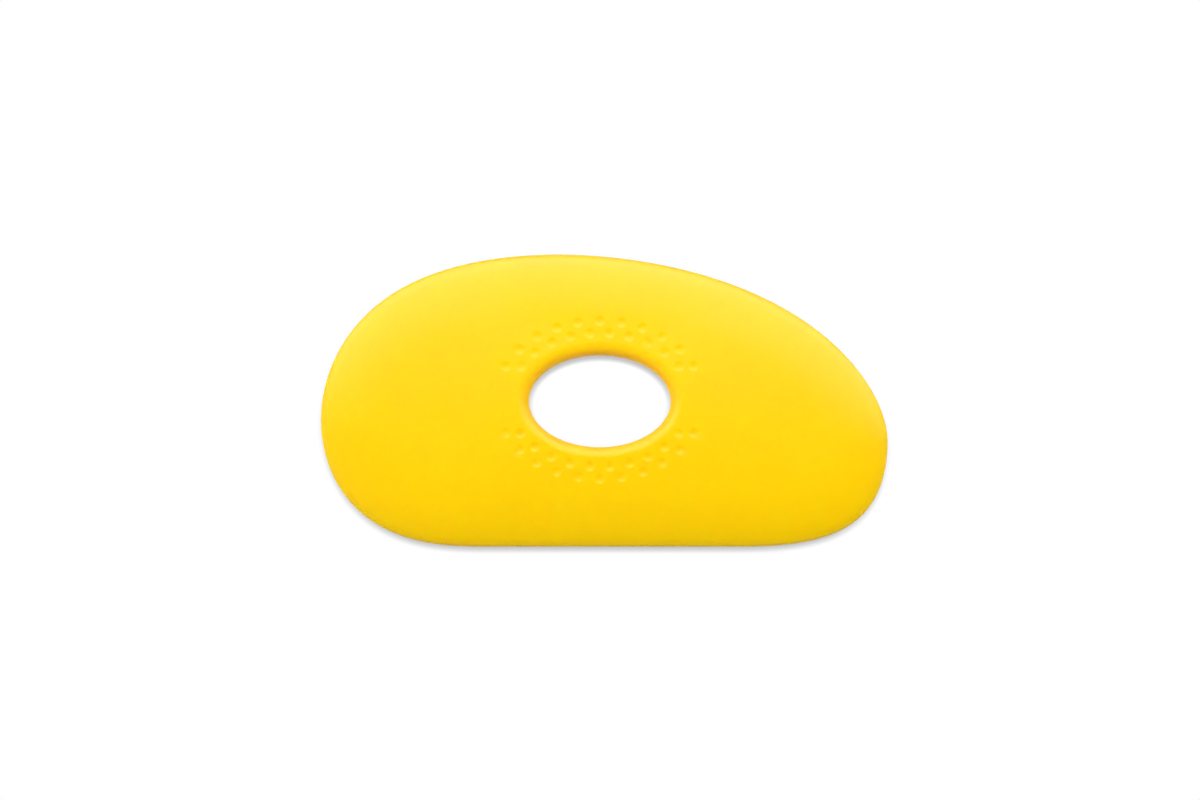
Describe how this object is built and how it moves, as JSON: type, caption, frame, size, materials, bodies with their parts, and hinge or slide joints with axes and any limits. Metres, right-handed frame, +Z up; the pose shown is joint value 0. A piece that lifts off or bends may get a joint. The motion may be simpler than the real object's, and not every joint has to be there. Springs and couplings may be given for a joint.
{
  "type": "pottery rib",
  "caption": "Flexible moulded pottery rib with a long straight edge, rounded ends, a thin tapered rim all round and an oval finger hole with a rolled lip.",
  "frame": {"origin": "middle of the outline's box, on the lower flat face that the rib rests on", "axes": "+X along the blade towards its narrower end, +Y from the straight edge towards the curved back, +Z up out of the dimpled face"},
  "size_m": [0.0698, 0.0362, 0.0045],
  "materials": {
    "rib_polymer": "satin"
  },
  "bodies": {
    "root": {"rib": "rib_polymer"}
  },
  "joints": []
}
